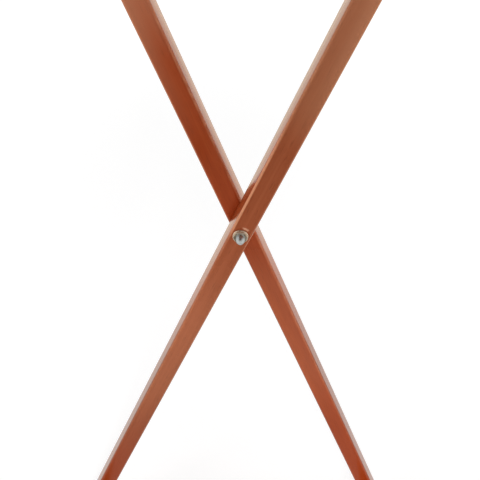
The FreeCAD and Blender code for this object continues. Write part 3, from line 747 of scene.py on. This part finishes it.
def put_in_scene(name, data):
    """An object made of a mesh, a lamp or a camera."""
    thing = bpy.data.objects.new(name, data)
    bpy.context.scene.collection.objects.link(thing)
    return thing


def nut_rings(across_flats):
    """The cap nut's rings from foot to dome: a radius and a height at each angle from a flat's normal."""
    face = NUT_FACE_SHARE * across_flats / 2
    hexagon = []
    for step in range(NUT_AROUND):
        angle = 2 * math.pi * step / NUT_AROUND
        from_flat = (angle + NUT_FLAT_TURN / 2) % NUT_FLAT_TURN - NUT_FLAT_TURN / 2
        hexagon.append(across_flats / 2 / math.cos(from_flat))
    rings = [[(radius, 0.0) for radius in hexagon]]
    rings.append([(radius, NUT_HEX_HEIGHT - (radius - face) * math.tan(NUT_CHAMFER)) for radius in hexagon])
    rings.append([(face, NUT_HEX_HEIGHT)] * NUT_AROUND)
    rings.append([(NUT_DOME_RADIUS, NUT_HEX_HEIGHT)] * NUT_AROUND)
    dome_height = NUT_HEIGHT - NUT_HEX_HEIGHT
    for step in range(1, NUT_DOME_STEPS):
        turn = math.pi / 2 * step / NUT_DOME_STEPS
        inward = math.cos(turn) ** (2 / NUT_DOME_FULLNESS)
        upward = math.sin(turn) ** (2 / NUT_DOME_FULLNESS)
        place = (NUT_DOME_RADIUS * inward, NUT_HEX_HEIGHT + dome_height * upward)
        rings.append([place] * NUT_AROUND)
    return rings


def nut_points(end, rings):
    """The rings' points round a pivot, away from its washer, and the dome's tip last."""
    low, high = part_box(f"cap_nut_{end}")
    centre = middle(f"cap_nut_{end}")
    forward = 1 if centre.y > middle(f"nut_washer_{end}").y else -1
    foot = low.y if forward > 0 else high.y
    points = []
    for ring in rings:
        for step, (radius, height) in enumerate(ring):
            angle = 2 * math.pi * step / NUT_AROUND
            points.append((centre.x + radius * math.sin(angle), foot + forward * height,
                           centre.z + radius * math.cos(angle)))
    points.append((centre.x, foot + forward * NUT_HEIGHT, centre.z))
    return points


def nut_faces(rows):
    """The nut's faces, and whether each is smooth: the chamfer and the dome are."""
    faces = [tuple(range(NUT_AROUND))]
    smooth = [False]
    tip = rows * NUT_AROUND
    for row in range(rows):
        for step in range(NUT_AROUND):
            a = row * NUT_AROUND + step
            b = row * NUT_AROUND + (step + 1) % NUT_AROUND
            last = row == rows - 1
            faces.append((a, b, tip) if last else (a, b, b + NUT_AROUND, a + NUT_AROUND))
            smooth.append(row == 1 or row > 2)
    return faces, smooth


def face_outwards(mesh):
    """Turn a closed mesh's normals outwards."""
    work = bmesh.new()
    work.from_mesh(mesh)
    bmesh.ops.recalc_face_normals(work, faces=work.faces)
    work.to_mesh(mesh)
    work.free()


def cap_nut(end):
    """A chamfered hexagon, a flat upwards, with a tall round dome."""
    low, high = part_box(f"cap_nut_{end}")
    rings = nut_rings(high.z - low.z)
    faces, smooth = nut_faces(len(rings))
    mesh = bpy.data.meshes.new(f"acorn_nut_{end}")
    mesh.from_pydata(nut_points(end, rings), [], faces)
    mesh.polygons.foreach_set("use_smooth", smooth)
    face_outwards(mesh)
    mesh.materials.append(cap_nut_plate(f"cap_nut_{end}_plate", middle(f"cap_nut_{end}")))
    piece = put_in_scene(f"acorn_nut_{end}", mesh)
    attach(piece, "outer_frame")
    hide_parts(f"cap_nut_{end}")
    return piece


def strap_half(low):
    """A strap's line on one side: its tail, turned down outside the rail, and its arc over the rail."""
    inside = RAIL_RADIUS + STRAP_GAP
    axis = Vector((-math.sin(LEAN), 0, math.cos(LEAN)))
    out = Vector((-math.cos(LEAN), 0, -math.sin(LEAN)))
    crown = Vector((low.x, 0, low.z - inside))
    half = []
    for step in range(STRAP_TAIL_STEPS):
        half.append((crown + out * inside - axis * STRAP_TURN * (1 - step / STRAP_TAIL_STEPS), out))
    for step in range(STRAP_ARC_STEPS + 1):
        angle = (math.pi / 2 + LEAN) * (1 - step / STRAP_ARC_STEPS)
        normal = Vector((-math.sin(angle), 0, math.cos(angle)))
        half.append((crown + normal * inside, normal))
    return half


def strap_line():
    """Points along the under face of a strap in the XZ plane, with the outward normal at each."""
    low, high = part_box("strap_span_1")
    half = strap_half(low)
    span = []
    for step in range(1, STRAP_SPAN_STEPS):
        x = low.x + (high.x - low.x) * step / STRAP_SPAN_STEPS
        span.append((Vector((x, 0, low.z)), Vector((0, 0, 1))))
    mirrored = [(Vector((-p.x, 0, p.z)), Vector((-n.x, 0, n.z))) for p, n in reversed(half)]
    return half + span + mirrored


def line_lengths(line):
    """The length from a line's start to each of its points."""
    lengths = [0.0]
    for (a, _), (b, _) in zip(line, line[1:]):
        lengths.append(lengths[-1] + (b - a).length)
    return lengths


def strap_section(width, thickness):
    """A strap's section: the share of its width and the height above its under face, with rounded edges."""
    rounding = STRAP_ROUNDING * thickness
    under = []
    for step in range(STRAP_ACROSS_STEPS + 1):
        share = step / STRAP_ACROSS_STEPS
        edge = min(share, 1 - share) * width
        under.append((share, max(0.0, rounding - edge)))
    over = [(share, thickness - lift) for share, lift in reversed(under)]
    return under + over


def band_faces(rows, ring):
    """Faces of a closed band of sections, with both ends shut."""
    faces = []
    for row in range(rows - 1):
        for k in range(ring):
            a = row * ring + k
            b = row * ring + (k + 1) % ring
            faces.append((a, b, b + ring, a + ring))
    faces.append(tuple(range(ring)))
    faces.append(tuple(reversed(range((rows - 1) * ring, rows * ring))))
    return faces


def band_mesh(name, verts, faces, uvs):
    """A smooth mesh with a place in metres along and across for each point."""
    mesh = bpy.data.meshes.new(name)
    mesh.from_pydata(verts, [], faces)
    layer = mesh.uv_layers.new(name="strap")
    for loop in mesh.loops:
        layer.data[loop.index].uv = uvs[loop.vertex_index]
    mesh.validate()
    mesh.update()
    for polygon in mesh.polygons:
        polygon.use_smooth = True
    return mesh


def strap(number, material):
    """One webbing strap, from tack to tack over both rails, as a closed band with rounded edges."""
    low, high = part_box(f"strap_span_{number}")
    width = high.y - low.y
    centre = (low.y + high.y) / 2
    line = strap_line()
    lengths = line_lengths(line)
    section = strap_section(width, high.z - low.z)
    verts = []
    uvs = []
    for (point, normal), length in zip(line, lengths):
        for share, lift in section:
            verts.append(point + normal * lift + Vector((0, centre + (share - 0.5) * width, 0)))
            uvs.append((length, share * width))
    mesh = band_mesh(f"strap_{number}", verts, band_faces(len(line), len(section)), uvs)
    mesh.materials.append(material)
    piece = put_in_scene(f"strap_{number}", mesh)
    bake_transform(piece)
    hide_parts(f"strap_span_{number}", "outer_strap_ends", "inner_strap_ends")


def seen_by_eye(graph):
    """1 for rays that show the background: straight, by reflection or through glass."""
    path = graph.add("ShaderNodeLightPath").outputs
    seen = graph.math("MAXIMUM", path["Is Camera Ray"], path["Is Glossy Ray"])
    return graph.math("MAXIMUM", seen, path["Is Transmission Ray"])


def floor_white():
    """Grey as a floor that is lit, and glowing white to the eye, the more the further from the object. The
    weaker glow near the object is painted shade.
    """
    graph = Graph(bpy.data.materials.new("floor_white"))
    seen = seen_by_eye(graph)
    reach = graph.measure("LENGTH", graph.coordinates()["Object"])
    strength = graph.span(reach, *FLOOR_GLOW_REACH, *FLOOR_GLOW)
    diffuse = graph.add("ShaderNodeBsdfDiffuse", {"Color": FLOOR_GREY}).outputs[0]
    glow = graph.add("ShaderNodeEmission", {"Color": WHITE, "Strength": strength}).outputs[0]
    nothing = graph.add("ShaderNodeEmission", {"Color": BLACK, "Strength": 0.0}).outputs[0]
    shown = graph.add("ShaderNodeMixShader", {0: seen, 1: nothing, 2: glow}).outputs[0]
    both = graph.add("ShaderNodeAddShader", {0: diffuse, 1: shown}).outputs[0]
    graph.add("ShaderNodeOutputMaterial", {0: both})
    return graph.owner


def floor():
    """A plain white floor, which keeps the object's shadow."""
    corners = [(-FLOOR_HALF, -FLOOR_HALF, 0), (FLOOR_HALF, -FLOOR_HALF, 0),
               (FLOOR_HALF, FLOOR_HALF, 0), (-FLOOR_HALF, FLOOR_HALF, 0)]
    mesh = bpy.data.meshes.new("floor")
    mesh.from_pydata(corners, [], [(0, 1, 2, 3)])
    mesh.materials.append(floor_white())
    put_in_scene("floor", mesh)


def white_world():
    """White to the eye, softer as a light."""
    world = bpy.data.worlds.new("studio")
    bpy.context.scene.world = world
    graph = Graph(world)
    strength = graph.span(seen_by_eye(graph), 0.0, 1.0, WORLD_LIGHT, 1.0)
    background = graph.add("ShaderNodeBackground", {"Color": WHITE, "Strength": strength})
    graph.add("ShaderNodeOutputWorld", {0: background.outputs[0]})


def spare(lamp, pieces):
    """Keep a lamp's light off these pieces."""
    spared = bpy.data.collections.new(f"{lamp.name}_spares")
    for piece in pieces:
        spared.objects.link(piece)
    lamp.light_linking.receiver_collection = spared
    for entry in spared.collection_objects:
        entry.light_linking.link_state = "EXCLUDE"


def softbox(name, place, target, size, power, mirrored=True, spares=()):
    """A square area lamp aimed at a point. One that isn't mirrored leaves no highlight."""
    light = bpy.data.lights.new(name, "AREA")
    light.shape = "SQUARE"
    light.size = size
    light.energy = power
    lamp = put_in_scene(name, light)
    lamp.visible_camera = False
    lamp.visible_glossy = mirrored
    lamp.location = place
    lamp.rotation_mode = "QUATERNION"
    lamp.rotation_quaternion = (Vector(target) - Vector(place)).to_track_quat("-Z", "Y")
    if spares:
        spare(lamp, spares)


def studio(nuts):
    """Soft lamps all round. Those at the sides spare the nuts, where they would leave white spots."""
    softbox("key", place=(-2.8, -1.2, 2.3), target=(0, 0, 0.5), size=1.8, power=25, spares=nuts)
    softbox("fill", place=(2.9, -0.8, 1.3), target=(0, 0, 0.5), size=2.0, power=8, spares=nuts)
    softbox("front", place=(0.3, -3.2, 2.5), target=(0, 0, 0.4), size=0.8, power=45, mirrored=False)
    softbox("low", place=(0.2, -2.6, 0.35), target=(0, 0, 0.55), size=1.6, power=26, mirrored=False)
    softbox("left", place=(-3.6, 0.2, 1.0), target=(0, 0.2, 0.5), size=1.8, power=42, spares=nuts)
    softbox("right", place=(3.6, 0.2, 1.0), target=(0, 0.2, 0.5), size=1.8, power=42, spares=nuts)
    softbox("back", place=(0.6, 2.8, 1.8), target=(0, 0, 0.5), size=2.0, power=17)


def camera():
    """The photograph's viewpoint: just above and in front of the rear crossing."""
    crossing = middle("spacer_washer_rear") - Vector((PIVOT_SIDE, 0, PIVOT_RAISE))
    data = bpy.data.cameras.new("camera")
    data.sensor_width = SENSOR_WIDTH
    data.lens = FOCAL_PIXELS / PHOTO_PIXELS * SENSOR_WIDTH
    data.clip_start = CAMERA_NEAR
    eye = put_in_scene("camera", data)
    level = math.cos(CAMERA_PITCH)
    forward = Vector((math.sin(CAMERA_YAW) * level, math.cos(CAMERA_YAW) * level, -math.sin(CAMERA_PITCH)))
    right = Vector((math.cos(CAMERA_YAW), -math.sin(CAMERA_YAW), 0))
    up = right.cross(forward)
    rolled_right = math.cos(CAMERA_ROLL) * right + math.sin(CAMERA_ROLL) * up
    rolled_up = -math.sin(CAMERA_ROLL) * right + math.cos(CAMERA_ROLL) * up
    turn = Matrix((rolled_right, rolled_up, -forward)).transposed()
    place = crossing + Vector((CAMERA_SIDE, -CAMERA_BACK, CAMERA_RISE))
    eye.matrix_world = Matrix.Translation(place) @ turn.to_4x4()
    bpy.context.scene.camera = eye


dress_stand()
dress_tray()
cap_nuts = [cap_nut(end) for end in ENDS]
strap_webbing = webbing()
for strap_number in (1, 2, 3):
    strap(strap_number, strap_webbing)
floor()
white_world()
studio(cap_nuts)
camera()
bpy.context.scene.view_settings.view_transform = "Standard"
